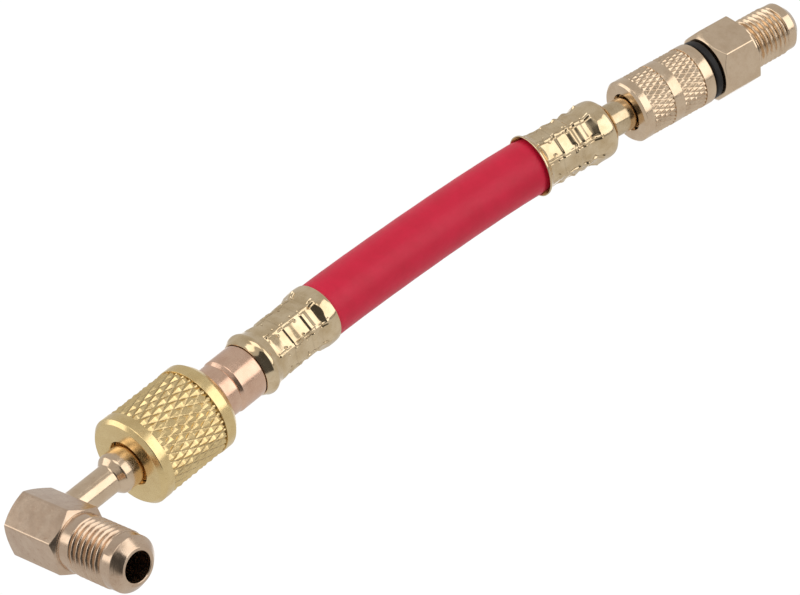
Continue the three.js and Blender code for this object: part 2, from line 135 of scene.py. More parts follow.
# Each panel: its direction, half width, half height, brightness, softness and lean.
PANELS = [
    ((0.55, 0.66, -0.50), 0.34, 0.24, 1.0, 0.12, 0),  # the pale backdrop beyond the part
    ((-0.490, -0.832, 0.2588), 0.42, 0.68, 0.07, 0.06, 0),  # the dark side beside the camera
    ((0.403, -0.8085, 0.40), 0.53, 0.54, 0.22, 0.04, 0),  # the grey surround of the front box
    ((0.403, -0.8085, 0.435), 0.49, 0.46, 1.5, 0.02, 0),  # the front box
    ((-0.532, 0.707, 0.471), 0.4, 0.21, 1.5, 0.02, 32),  # the box behind on the left
    ((-0.1, -0.12, 0.98), 0.42, 0.26, 1.6, 0.03, 0),  # the box overhead
]


# Mesh code
def soften(rows, width):
    """Rounds each corner of the profile polylines. rows is (n, columns, 2) of station and radius."""
    out = [rows[0]]
    for i in range(1, len(rows) - 1):
        w = width[i] if hasattr(width, "__len__") else width
        if w <= 0:
            out.append(rows[i])
            continue
        before = rows[i - 1] - rows[i]
        after = rows[i + 1] - rows[i]
        lb = np.maximum(np.linalg.norm(before, axis=1, keepdims=True), TINY)
        la = np.maximum(np.linalg.norm(after, axis=1, keepdims=True), TINY)
        start = rows[i] + before / lb * np.minimum(w, CORNER_SHARE * lb)
        end = rows[i] + after / la * np.minimum(w, CORNER_SHARE * la)
        for t in (0.0, 0.25, 0.5, 0.75, 1.0):
            out.append((1 - t) ** 2 * start + 2 * t * (1 - t) * rows[i] + t * t * end)
    out.append(rows[-1])
    return np.array(out)


def lathe_rows(profile, columns):
    """A list of (station, radius), each a number or an array over the columns, as one array."""
    rows = np.zeros((len(profile), columns, 2))
    for i, (station, radius) in enumerate(profile):
        rows[i, :, 0] = station
        rows[i, :, 1] = radius
    return rows


def build(name, rows, angles, where, material, body, nodes, loop=True, sharp=38):
    """A closed skin of rings about an axis. Where loop is false its two ends close on the axis."""
    n, m = rows.shape[:2]
    x = rows[:, :, 0]
    r = rows[:, :, 1]
    points = np.stack([x, r * np.cos(angles)[None, :], r * np.sin(angles)[None, :]], axis=2)
    verts = (points.reshape(-1, 3) * MM).tolist()
    faces = []
    for i in range(n if loop else n - 1):
        a = i * m
        b = ((i + 1) % n) * m
        for j in range(m):
            k = (j + 1) % m
            faces.append((a + j, a + k, b + k, b + j))
    if not loop:
        first = len(verts)
        verts.append((float(x[0].mean()) * MM, 0.0, 0.0))
        last = len(verts)
        verts.append((float(x[-1].mean()) * MM, 0.0, 0.0))
        for j in range(m):
            k = (j + 1) % m
            faces.append((first, k, j))
            faces.append((last, (n - 1) * m + j, (n - 1) * m + k))
    return add_mesh(name, verts, faces, where, material, body, nodes, sharp)


def add_mesh(name, verts, faces, where, material, body, nodes, sharp=38):
    """One smooth piece, with edges sharper than that angle left sharp, parented to its body's empty, with
    the CAD parts it stands for hidden.
    """
    mesh = bpy.data.meshes.new(name)
    mesh.from_pydata(verts, [], faces)
    mesh.update()
    mesh.polygons.foreach_set("use_smooth", [True] * len(mesh.polygons))
    if sharp:
        mesh.set_sharp_from_angle(angle=math.radians(sharp))
    piece = bpy.data.objects.new(name, mesh)
    bpy.context.scene.collection.objects.link(piece)
    piece.matrix_world = where
    mesh.materials.append(material)
    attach(piece, body)
    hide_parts(*nodes)
    return piece


def even(columns):
    """Angles of evenly spaced columns."""
    return np.arange(columns) * 2 * math.pi / columns


def hex_angles(corner):
    """Columns gathered at the six corners of a hexagon, whose first corner is at that angle in degrees."""
    half = [0, 0.5, 1.1, 1.9, 3, 4.5, 6.5, 9, 12, 15.5, 19, 22.5, 26]
    offsets = sorted([-h for h in half[1:]] + half + [30])
    degrees = [corner + 60 * k + o for k in range(6) for o in offsets]
    return np.radians(np.array(degrees))


def hexagon(angles, across, corner):
    """Radius of a hexagon at each angle, with its edges rounded a little."""
    phi = (np.degrees(angles) - corner) % 60
    off = np.minimum(phi, 60 - phi)
    flat = across / 2 / np.cos(np.radians(30 - off))
    cap = across / math.sqrt(3) - EDGE_CUT
    return -EDGE_BLEND * np.log(np.exp((cap - flat) / EDGE_BLEND) + 1) + cap


def triangle(u):
    """A wave of period 1: 1 at whole numbers and 0 halfway."""
    return np.abs(2 * (u - np.floor(u)) - 1)


def thread_rows(start, turns, depth, angles, phase, lead_in, run_out):
    """Rows of a right-handed thread. lead_in and run_out are the radii that it starts and ends at."""
    count = turns * THREAD_STEPS
    end = start + turns * PITCH
    fade_length = THREAD_FADE * PITCH
    rows = np.zeros((count + 1, len(angles), 2))
    for i, s in enumerate(np.linspace(start, end, count + 1)):
        u = (s - start) / PITCH - angles / (2 * math.pi) + phase
        form = np.clip(triangle(u) * FORM_GAIN - FORM_SHIFT, 0, 1)
        form = form * form * (3 - 2 * form) * FORM_ROUNDING + form * (1 - FORM_ROUNDING)
        radius = THREAD_R - depth * (1 - form)
        radius = np.minimum(radius, run_out + (end - s) * RUN_OUT_SLOPE)
        radius = np.minimum(radius, lead_in + (s - start) * LEAD_IN_SLOPE)
        fade = np.clip((s - start) / fade_length, 0, 1)
        radius = lead_in * (1 - fade) + radius * fade
        fade = np.clip((end - s) / fade_length, 0, 1)
        rows[i, :, 0] = s
        rows[i, :, 1] = run_out * (1 - fade) + radius * fade
    return rows


def knurl_rows(start, end, around, lead, peak, depth, angles, step):
    """Rows of a diamond knurl, whose grooves run both ways round and are a lead apart along the axis."""
    count = int(round((end - start) / step))
    rows = np.zeros((count + 1, len(angles), 2))
    for i in range(count + 1):
        s = start + (end - start) * i / count
        turn = around * angles / (2 * math.pi)
        one = triangle(turn + s / lead)
        two = triangle(turn - s / lead)
        rows[i, :, 0] = s
        rows[i, :, 1] = peak - depth * (1 - np.minimum(one, two))
    return rows


def curve_through(points, stations):
    """A smooth curve through (station, radius) points, without overshoot."""
    px = np.array([p[0] for p in points], float)
    py = np.array([p[1] for p in points], float)
    h = np.diff(px)
    d = np.diff(py) / h
    m = np.zeros(len(px))
    m[0] = d[0]
    m[-1] = d[-1]
    for i in range(1, len(px) - 1):
        if d[i - 1] * d[i] > 0:
            w1 = 2 * h[i] + h[i - 1]
            w2 = h[i] + 2 * h[i - 1]
            m[i] = (w1 + w2) / (w1 / d[i - 1] + w2 / d[i])
    k = np.clip(np.searchsorted(px, stations) - 1, 0, len(px) - 2)
    t = (stations - px[k]) / h[k]
    t2 = t * t
    t3 = t2 * t
    return ((2 * t3 - 3 * t2 + 1) * py[k] + (t3 - 2 * t2 + t) * h[k] * m[k]
            + (-2 * t3 + 3 * t2) * py[k + 1] + (t3 - t2) * h[k] * m[k + 1])


def ease(a, b, x):
    """Rises smoothly from 0 at a to 1 at b."""
    t = np.clip((x - a) / (b - a), 0, 1)
    return t * t * (3 - 2 * t)


# Materials
def add_node(tree, kind, **values):
    """A new node. A value goes to the input of its name, or else to the node's own property."""
    node = tree.nodes.new(kind)
    for key, value in values.items():
        if key in node.inputs:
            node.inputs[key].default_value = value
        else:
            setattr(node, key, value)
    return node


def ramp(tree, source, stops):
    """A colour ramp over the source, from (position, colour) stops."""
    node = tree.nodes.new("ShaderNodeValToRGB")
    for element, (position, colour) in zip(node.color_ramp.elements, stops):
        element.position = position
        element.color = colour + (1,)
    tree.links.new(source, node.inputs["Fac"])
    return node.outputs["Color"]


def spread(tree, source, low, high, to_low, to_high):
    """Maps low to high onto to_low to to_high, and holds the value beyond them."""
    node = tree.nodes.new("ShaderNodeMapRange")
    node.inputs["From Min"].default_value = low
    node.inputs["From Max"].default_value = high
    node.inputs["To Min"].default_value = to_low
    node.inputs["To Max"].default_value = to_high
    tree.links.new(source, node.inputs["Value"])
    return node.outputs["Result"]


def number(tree, operation, a, b=None, c=None):
    """A Math node over sockets and plain numbers."""
    node = tree.nodes.new("ShaderNodeMath")
    node.operation = operation
    for socket, value in zip(node.inputs, (a, b, c)):
        if value is None:
            continue
        if isinstance(value, (int, float)):
            socket.default_value = value
        else:
            tree.links.new(value, socket)
    return node.outputs["Value"]


def noise(tree, place, scale, detail, roughness):
    node = add_node(tree, "ShaderNodeTexNoise", Scale=scale, Detail=detail, Roughness=roughness)
    tree.links.new(place, node.inputs["Vector"])
    return node.outputs["Fac"]


def stretched(tree, place, factors):
    node = add_node(tree, "ShaderNodeVectorMath", operation="MULTIPLY")
    node.inputs[1].default_value = factors
    tree.links.new(place, node.inputs[0])
    return node.outputs["Vector"]


def blended(tree, amount, under, over):
    """The socket's colour with a plain colour laid over it by that amount."""
    node = add_node(tree, "ShaderNodeMix", data_type="RGBA")
    node.inputs[7].default_value = over + (1,)
    tree.links.new(amount, node.inputs["Factor"])
    tree.links.new(under, node.inputs[6])
    return node.outputs[2]


def emboss(tree, shader, height, strength, distance):
    node = add_node(tree, "ShaderNodeBump", Strength=strength, Distance=distance)
    tree.links.new(height, node.inputs["Height"])
    tree.links.new(node.outputs["Normal"], shader.inputs["Normal"])


def new_material(name):
    """A material with its tree, its shader, and the piece's own coordinates in millimetres."""
    material = bpy.data.materials.new(name)
    material.use_nodes = True
    tree = material.node_tree
    place = tree.nodes.new("ShaderNodeTexCoord")
    scale = add_node(tree, "ShaderNodeVectorMath", operation="SCALE")
    scale.inputs["Scale"].default_value = 1 / MM
    tree.links.new(place.outputs["Object"], scale.inputs[0])
    return material, tree, tree.nodes["Principled BSDF"], scale.outputs["Vector"]


def brass(name, light, dark, rough, marks=0.25, mark_scale=9.0, stain=0.5, grain=0.25, grime_and_shade=0.5):
    """Turned brass: cloudy colour, fine rings round the axis, faint scratches, and a dark colour in the
    grooves that is dirt and painted shade together.
    """
    material, tree, shader, place = new_material(name)
    shader.inputs["Metallic"].default_value = 1.0
    tint = ramp(tree, noise(tree, place, 0.33, 4.0, 0.6), [(0.32, dark), (0.62, light)])

    # Where the surface is hollow the colour darkens: partly dirt, partly painted shade for the shade that
    # falls in grooves and recesses.
    geometry = tree.nodes.new("ShaderNodeNewGeometry")
    hollow = spread(tree, geometry.outputs["Pointiness"], 0.45, 0.498, 1.0, 0.0)
    speckle = spread(tree, noise(tree, place, 2.6, 3.0, 0.7), 0.35, 0.7, 0.35, 1.0)
    amount = number(tree, "MULTIPLY", number(tree, "MULTIPLY", hollow, speckle), grime_and_shade)
    dirt_and_shade_colour = blended(tree, amount, tint, DIRT_AND_PAINTED_SHADE)

    # Faint brown spots of tarnish.
    spots = spread(tree, noise(tree, place, 1.1, 5.0, 0.65), 0.6, 0.78, 0.0, stain)
    aged = blended(tree, spots, dirt_and_shade_colour, tuple(d * t for d, t in zip(dark, TARNISH)))
    tree.links.new(aged, shader.inputs["Base Color"])

    polish = spread(tree, noise(tree, place, 0.9, 4.0, 0.7), 0.3, 0.72, rough * 0.75, rough * 1.45)
    dull = number(tree, "MULTIPLY_ADD", amount, HOLLOW_ROUGHNESS, polish)
    tree.links.new(dull, shader.inputs["Roughness"])

    # Turning marks are rings of uneven depth along the axis.
    rings = noise(tree, stretched(tree, place, (mark_scale, 0.25, 0.25)), 1.0, 2.0, 0.6)
    relief = number(tree, "MULTIPLY_ADD", noise(tree, place, 7.0, 2.0, 0.5), grain, rings)
    emboss(tree, shader, relief, marks, 0.04 * MM)
    return material


def rubber(name, light, dark, rough, sheen):
    """Moulded rubber: soft colour variation, a fine skin and faint lengthwise draw marks."""
    material, tree, shader, place = new_material(name)
    shader.inputs["Specular IOR Level"].default_value = 0.35
    shader.inputs["Sheen Weight"].default_value = sheen
    shader.inputs["Sheen Roughness"].default_value = 0.45
    tint = ramp(tree, noise(tree, place, 0.16, 5.0, 0.62), [(0.3, dark), (0.68, light)])
    tree.links.new(tint, shader.inputs["Base Color"])
    polish = spread(tree, noise(tree, place, 0.5, 4.0, 0.7), 0.3, 0.7, rough * 0.86, rough * 1.15)
    tree.links.new(polish, shader.inputs["Roughness"])
    drawn = noise(tree, stretched(tree, place, (0.12, 1.8, 1.8)), 1.0, 3.0, 0.6)
    relief = number(tree, "MULTIPLY_ADD", noise(tree, place, 5.0, 3.0, 0.6), 0.5, drawn)
    emboss(tree, shader, relief, 0.25, 0.08 * MM)
    return material


# grime sets how far the hollows darken, with dirt and painted shade together.
ROSE = brass("rose_brass", (0.85, 0.655, 0.46), (0.76, 0.565, 0.38), 0.16, grime_and_shade=0.45)
# A darker copy of rose_brass for the elbow alone: painted shade, because the elbow's flats catch too much
# of the studio light.
SHADED_ROSE = brass("rose_brass_shaded", (0.76, 0.575, 0.42), (0.66, 0.475, 0.335), 0.19, grime_and_shade=0.45, stain=0.8)
YELLOW = brass("yellow_brass", (0.95, 0.725, 0.365), (0.85, 0.62, 0.29), 0.22,
               marks=0.12, grain=0.1, grime_and_shade=0.9)
COPPER = brass("copper_brass", (0.9, 0.61, 0.44), (0.8, 0.51, 0.36), 0.2, marks=0.25, grain=0.1, grime_and_shade=0.9)
PALE = brass("ferrule_brass", (0.89, 0.705, 0.46), (0.72, 0.535, 0.31), 0.11,
             marks=0.12, mark_scale=2.0, grime_and_shade=0.9)
CRIMSON = rubber("red_rubber", (0.83, 0.014, 0.06), (0.72, 0.011, 0.046), 0.42, sheen=0.04)
BLACK = rubber("black_rubber", (0.022, 0.019, 0.017), (0.012, 0.01, 0.009), 0.5, sheen=0.05)


# The elbow
def hex_ends(angles, across, corner, start, end, face_start, face_end, slope_start, slope_end):
    """The profile of a hexagon with turned ends: face circle, curved chamfer edge, flat, and back."""
    flat = hexagon(angles, across, corner)
    x1 = start + np.maximum(flat - face_start, 0) * slope_start
    x2 = end - np.maximum(flat - face_end, 0) * slope_end
    r1 = np.minimum(flat, face_start)
    r2 = np.minimum(flat, face_end)
    middle = (x1 + x2) / 2
    return [(start, r1), (x1, flat), (middle, flat), (x2, flat), (end, r2)]


def male_flare(angles, start, neck, land, bore, bore_end, phase, depth):
    """Neck, thread, land, 45 degree nose, flat rim, and the bore back to bore_end."""
    thread_start = start + neck
    thread_end = thread_start + THREAD_TURNS * PITCH
    nose = thread_end + land
    tip = nose + NOSE_R - RIM_R
    columns = len(angles)
    before = lathe_rows([(start, NECK_R), (thread_start - 0.02, NECK_R)], columns)
    thread = thread_rows(thread_start, THREAD_TURNS, depth, angles, phase, NECK_R, NOSE_R)
    after = lathe_rows([
        (thread_end, NOSE_R), (nose, NOSE_R), (tip, RIM_R), (tip, bore + 0.12),
        (tip - 0.14, bore), (bore_end, bore)], columns)
    after = soften(after, [0, 0.1, 0.22, 0.12, 0.05, 0])
    return before, thread, after


def make_elbow_body():
    angles = hex_angles(ELBOW_CORNER)
    start = -ARM_BACK
    front = start + ELBOW_BAR_LENGTH
    face_r = ELBOW_ACROSS / math.sqrt(3) - 1.2
    bar = hex_ends(angles, ELBOW_ACROSS, ELBOW_CORNER, start, front, face_r, face_r, 0.62, 0.62)
    before, thread, after = male_flare(angles, front, 2.5, 2.0, 2.95, -2.0, 0.55, 0.72)
    face = lathe_rows([(start, 0.6), (start, 3.2)], len(angles))
    joined = np.concatenate([face, lathe_rows(bar, len(angles)), before])
    joined = soften(joined, [0, 0, 0.1, 0.07, 0, 0.07, 0.1, 0.16, 0])
    rows = np.concatenate([joined, thread, after])
    return build("elbow_flare_bar", rows, angles, ARM, SHADED_ROSE, "elbow", ["elbow_body"], loop=False)


def make_elbow_stem():
    columns = 72
    profile = [
        (4.0, 3.4), (5.95, 3.4), (6.15, 3.12), (6.55, 2.93), (7.2, 2.9), (15.45, 2.9), (16.75, 4.04),
        (18.2, 4.1), (21.2, 4.1), (21.5, 4.1), (21.7, 4.46), (23.9, 4.46), (23.9, 5.45), (26.4, 5.45),
        (26.4, 4.7), (23.6, 1.9), (4.0, 1.9)]
    width = [0, 0.05, 0.15, 0.2, 0.3, 0.25, 0.3, 0.2, 0, 0.05, 0.05, 0, 0, 0, 0, 0, 0]
    rows = soften(lathe_rows(profile, columns), width)
    return build("elbow_swivel_stem", rows, even(columns), NEAR, ROSE, "elbow", ["elbow_stem"])


# The nut
def make_nut():
    columns = NUT_GROOVES * 12
    angles = even(columns)
    near = lathe_rows([
        (23.6, 5.8), (23.6, 4.62), (20.62, 4.62), (20.4, 4.8), (20.4, 8.45), (21.2, 9.25), (23.3, 9.25),
        (23.3, 8.8)], columns)
    near = soften(near, [0, 0, 0.05, 0.05, 0.15, 0.12, 0.07, 0])
    grip = knurl_rows(23.32, 37.28, NUT_GROOVES, 4.03, 9.24, 0.52, angles, 0.2)
    far = lathe_rows([
        (37.3, 8.8), (37.3, 9.25), (39.55, 9.25), (40.9, 8.0), (40.9, 6.35), (40.45, 5.86),
        (24.0, 5.86)], columns)
    far = soften(far, [0, 0.07, 0.2, 0.15, 0.08, 0.08, 0])
    rows = np.concatenate([near, grip, far])
    return build("swivel_nut_knurled", rows, angles, NEAR, YELLOW, "nut", ["flare_nut"])


# The fitting at the hose's end
def make_fitting():
    columns = 80
    profile = [
        (28.4, 3.3), (30.2, 5.5), (40.3, 5.5), (40.95, 5.78), (41.3, 5.88), (42.05, 5.88), (42.2, 5.5),
        (42.5, 5.42), (45.25, 5.42), (45.32, 4.98), (45.5, 4.98), (46.25, 5.62), (51.75, 5.62),
        (51.8, 5.45), (53.0, 5.45), (53.0, 2.8), (69.8, 2.8), (69.8, 1.9), (28.4, 1.9)]
    width = [0, 0, 0, 0.1, 0.12, 0.1, 0.05, 0.1, 0.05, 0.03, 0.04, 0.12, 0.08, 0.03, 0, 0, 0, 0, 0]
    rows = soften(lathe_rows(profile, columns), width)
    return build("hose_end_turned", rows, even(columns), NEAR, COPPER, "hose_assembly",
                 ["hose_end_fitting"])


# Crimped ferrules
def crimped(stations, angles, plain, pressed, zone, facet_centre, pits, seed):
    """Radius of a crimped tube. In the zone the dies press flats, which leave thin fins between them."""
    turned = np.degrees(angles) - facet_centre + HALF_DIE
    phi = turned % DIE_TURN - HALF_DIE
    which = np.floor((turned % 360) / DIE_TURN).astype(int)
    generator = np.random.RandomState(seed)
    shift = np.concatenate([[0.0], generator.uniform(-0.3, 0.3, DIES - 1)])
    press = np.concatenate([[0.0], generator.uniform(-0.05, 0.05, DIES - 1)])
    tilt = np.concatenate([[0.0], generator.uniform(-2.5, 2.5, DIES - 1)])
    uneven = lumps(stations, angles, generator, 2.2)
    squeezed = lumps(stations, angles, generator, 1.0)
    whole = curve_through(plain, stations)
    inside = ease(zone[0] - 0.35, zone[0] + 0.35, stations)
    inside = inside * (1 - ease(zone[1] - 0.3, zone[1] + 0.5, stations))
    radius = np.zeros((len(stations), len(angles)))
    for j in range(len(angles)):
        k = which[j]
        off = abs(phi[j])
        lump = squeezed[:, j]
        base = curve_through(pressed, np.clip(stations + shift[k], pressed[0][0], pressed[-1][0]))
        flat = (base + press[k]) / math.cos(math.radians(phi[j] + tilt[k]))
        flat = np.minimum(flat, np.maximum(FIN_LEAST_R, base + FIN_RISE) + 0.02 * lump)
        crease = math.exp(-((off - CREASE_AT) / CREASE_WIDE) ** 2)
        flat = flat - CREASE_DEPTH * crease * np.clip(0.7 + lump, 0.15, 1.2)
        seam = math.exp(-((HALF_DIE - off) / SEAM_WIDE) ** 2)
        flat = flat + seam * (0.1 + 0.13 * np.clip(lump + 0.3, 0, 1.5)) + 0.019 * uneven[:, j]
        column = whole * (1 - inside) + flat * inside
        for at, across, size in pits:
            ds = (stations + shift[k] - at) / size
            da = (phi[j] - across) * math.radians(FLAT_R) / size
            column = column - PIT_DEPTH * inside * np.exp(-(ds ** 2 + da ** 2))
        radius[:, j] = column
    return radius


def lumps(stations, angles, generator, size):
    """A smooth random field over a tube, about -1 to 1, with lumps of that size in millimetres."""
    field = np.zeros((len(stations), len(angles)))
    most = int(24 / size)
    for _ in range(LUMP_WAVES):
        around = generator.randint(-most, most + 1)
        along = generator.uniform(-3.0, 3.0) / size
        start = generator.uniform(0, 2 * math.pi)
        field += np.cos(around * angles[None, :] + along * stations[:, None] + start)
    return field / LUMP_SPREAD


def make_ferrule(name, stations, profiles, zone, facet_centre, pits, seed, lip, where, node):
    """A crimped ferrule: its outside from the profiles, and its lips and bore from the list lip."""
    plain, pressed = profiles
    angles = even(FERRULE_COLUMNS)
    outer = np.zeros((len(stations), FERRULE_COLUMNS, 2))
    outer[:, :, 0] = stations[:, None]
    outer[:, :, 1] = crimped(stations, angles, plain, pressed, zone, facet_centre, pits, seed)
    rows = np.concatenate([outer, lathe_rows(lip, FERRULE_COLUMNS)])
    return build(name, rows, angles, where, PALE, "hose_assembly", [node], sharp=60)


def make_near_ferrule():
    stations = np.concatenate([np.linspace(52.05, 56.2, 34), np.linspace(56.26, 72.22, 196)])
    plain = [
        (52.05, 5.72), (52.25, 5.85), (53.0, 6.2), (53.75, 6.6), (54.05, 6.66), (54.35, 6.62),
        (55.0, 6.32), (56.4, 5.92), (58.0, 5.86), (61.0, 5.8), (64.0, 5.76), (66.8, 5.78), (67.9, 5.8),
        (68.6, 6.0), (69.5, 6.3), (70.15, 6.42), (70.8, 6.45), (71.6, 6.43), (72.22, 6.36)]
    pressed = [
        (56.0, 5.98), (56.7, 5.9), (58.5, 5.62), (59.0, 5.56), (60.35, 5.52), (60.5, 5.55),
        (60.85, 5.76), (61.05, 5.77), (63.3, 5.5), (63.9, 5.46), (65.15, 5.45), (65.3, 5.48),
        (65.8, 5.74), (66.05, 5.75), (67.3, 5.54), (67.9, 5.52), (68.1, 5.56), (69.9, 6.34),
        (70.3, 6.41), (71.2, 6.43)]
    pits = [
        (58.9, 15.5, 0.3), (59.0, -13.5, 0.34), (63.8, 15.5, 0.24), (64.0, -16.5, 0.28),
        (68.2, -19, 0.26)]
    lip = [(72.34, 6.2), (72.3, 6.04), (70.5, 5.3), (54.0, 5.3), (53.2, 5.6), (52.06, 5.6)]
    return make_ferrule("ferrule_crimped_near", stations, (plain, pressed), (56.6, 69.6), 140.8, pits, 3,
                        lip, NEAR, "ferrule_nut_end")


def make_far_ferrule():
    stations = np.linspace(-46.6, -26.75, 236)
    plain = [
        (-46.6, 6.8), (-46.35, 6.8), (-45.9, 6.48), (-45.2, 6.08), (-44.0, 5.9), (-41.0, 5.82),
        (-37.0, 5.82), (-34.4, 5.86), (-33.4, 6.05), (-32.4, 6.32), (-31.5, 6.44), (-30.2, 6.45),
        (-29.2, 6.36), (-28.6, 6.16), (-28.1, 5.75), (-27.5, 5.1), (-27.0, 4.5), (-26.75, 4.05)]
    pressed = [
        (-45.9, 6.3), (-45.3, 5.92), (-44.6, 5.78), (-41.75, 5.53), (-41.6, 5.54), (-41.1, 5.78),
        (-40.9, 5.79), (-39.0, 5.54), (-38.8, 5.54), (-37.9, 5.88), (-37.7, 5.9), (-36.8, 5.62),
        (-36.6, 5.62), (-35.85, 5.9), (-35.6, 5.91), (-34.0, 5.62), (-33.75, 5.62), (-31.8, 6.38),
        (-31.5, 6.43), (-30.6, 6.46)]
    pits = [
        (-43.2, 13.5, 0.34), (-42.8, -17, 0.28), (-38.2, 16, 0.3), (-38.3, -17, 0.26),
        (-33.9, 17, 0.26)]
    lip = [
        (-26.75, 3.75), (-27.3, 3.75), (-27.6, 5.2), (-44.2, 5.3), (-45.0, 5.95), (-45.8, 6.25),
        (-46.5, 6.55), (-46.66, 6.62), (-46.68, 6.72)]
    return make_ferrule("ferrule_crimped_far", stations, (plain, pressed), (-45.3, -32.0), 137, pits, 8,
                        lip, FAR, "ferrule_outlet_end")


# The hose
def make_hose():
    start = Vector((71.2, 0, 0))
    lead = Vector((72.54, 0, 0))
    to_far = NEAR.inverted() @ FAR
    end_along = (to_far.to_3x3() @ Vector((1, 0, 0))).normalized()
    end = (to_far @ (Vector((-45.6, 0, 0)) * MM)) / MM
    lead_far = lead + Vector((10, 0, 0))
    end_near = end - end_along * 14
    points = [start]
    for i in range(HOSE_STEPS + 1):
        t = i / HOSE_STEPS
        points.append((1 - t) ** 3 * lead + 3 * t * (1 - t) ** 2 * lead_far
                      + 3 * t * t * (1 - t) * end_near + t ** 3 * end)
    points.append(end + end_along * 3.2)
    count = len(points)
    outside = [HOSE_START_R] + [HOSE_R] * (count - 1 - len(HOSE_END_R)) + HOSE_END_R
    for i in range(count):
        outside[i] += HOSE_FOLD * math.sin(i * 0.9) * math.sin(math.pi * i / (count - 1))
    verts = []
    for radii in (outside, [HOSE_BORE_R] * count):
        for i, p in enumerate(points):
            along = (points[min(i + 1, count - 1)] - points[max(i - 1, 0)]).normalized()
            side = Vector((0, 0, 1)).cross(along).normalized()
            up = along.cross(side)
            for j in range(HOSE_COLUMNS):
                angle = 2 * math.pi * j / HOSE_COLUMNS
                v = p + side * (radii[i] * math.cos(angle)) + up * (radii[i] * math.sin(angle))
                verts.append(tuple(v * MM))
    faces = []
    inner = count * HOSE_COLUMNS
    for i in range(count - 1):
        one = i * HOSE_COLUMNS
        two = one + HOSE_COLUMNS
        for j in range(HOSE_COLUMNS):
            k = (j + 1) % HOSE_COLUMNS
            faces.append((one + j, one + k, two + k, two + j))
            faces.append((inner + one + j, inner + two + j, inner + two + k, inner + one + k))
    last = (count - 1) * HOSE_COLUMNS
    for j in range(HOSE_COLUMNS):
        k = (j + 1) % HOSE_COLUMNS
        faces.append((j, inner + j, inner + k, k))
        faces.append((last + j, last + k, inner + last + k, inner + last + j))
    return add_mesh("hose_rubber", verts, faces, NEAR, CRIMSON, "hose_assembly", ["hose"],
                    sharp=50)


# The outlet's stem, sleeve, gasket and adapter
def make_outlet_stem():
    columns = 64
    profile = [
        (-30.9, 2.8), (-30.9, 5.2), (-27.75, 5.2), (-27.75, 3.6), (-27.5, 3.6), (-20.5, 3.6), (-20.2, 3.6),
        (-20.15, 3.85), (-15.4, 3.85), (-15.4, 5.2), (-13.0, 5.2), (-13.0, 4.6), (-15.6, 2.0),
        (-30.9, 2.0)]
    rows = lathe_rows(profile, columns)
    return build("outlet_stem_turned", rows, even(columns), FAR, PALE, "hose_assembly",
                 ["outlet_stem"])


def make_sleeve():
    columns = SLEEVE_GROOVES * 12
    angles = even(columns)
    near = lathe_rows([
        (-15.6, 5.6), (-15.6, 4.1), (-21.2, 4.1), (-21.34, 4.25), (-21.34, 6.33), (-20.84, SLEEVE_R),
        (-19.06, SLEEVE_R), (-19.06, 6.5)], columns)
    near = soften(near, [0, 0, 0.04, 0.04, 0.06, 0.06, 0.05, 0])
    band = lathe_rows([(-13.34, 6.5), (-13.34, SLEEVE_R), (-10.88, SLEEVE_R), (-10.88, 6.5)], columns)
    band = soften(band, [0, 0.05, 0.05, 0])
    far = lathe_rows([
        (-4.98, 6.5), (-4.98, SLEEVE_R), (-2.6, SLEEVE_R), (-2.24, 6.55), (-2.24, 5.66)], columns)
    far = soften(far, [0, 0.05, 0.12, 0.08, 0])
    grips = [knurl_rows(start, end, SLEEVE_GROOVES, 2.65, SLEEVE_R - 0.01, 0.3, angles, 0.13)
             for start, end in ((-19.04, -13.36), (-10.86, -5.0))]
    rows = np.concatenate([near, grips[0], band, grips[1], far])
    return build("coupler_sleeve_knurled", rows, angles, FAR, ROSE, "sleeve",
                 ["coupler_sleeve"])


def make_gasket():
    columns = 72
    profile = [(-1.94, 5.6), (-1.94, 6.35), (-1.7, 6.58), (-0.5, 6.58), (-0.3, 6.4), (-0.3, 5.6)]
    rows = soften(lathe_rows(profile, columns), [0, 0.1, 0.15, 0.15, 0.1, 0])
    return build("gasket_ring", rows, even(columns), FAR, BLACK, "outlet", ["gasket"],
                 sharp=60)


def make_outlet():
    angles = hex_angles(OUTLET_CORNER)
    bar = hex_ends(angles, OUTLET_ACROSS, OUTLET_CORNER, 0, OUTLET_BAR_LENGTH, 7.0, 7.17, 1.1, 0.62)
    before, thread, after = male_flare(angles, OUTLET_BAR_LENGTH, 1.3, 1.7, 2.6, -14.1, 0.2, 0.64)
    head = lathe_rows([(-14.1, 2.95), (-11.6, 5.3), (-0.4, 5.3), (0.0, 5.5)], len(angles))
    joined = np.concatenate([head, lathe_rows(bar, len(angles)), before])
    joined = soften(joined, [0, 0, 0, 0, 0.1, 0.07, 0, 0.07, 0.1, 0.14, 0])
    rows = np.concatenate([joined, thread, after])
    return build("outlet_flare_hex", rows, angles, FAR, ROSE, "outlet", ["outlet_adapter"])


make_elbow_body()
make_elbow_stem()
make_nut()
make_fitting()
make_near_ferrule()
make_far_ferrule()
make_hose()
make_outlet_stem()
make_sleeve()
make_gasket()
make_outlet()


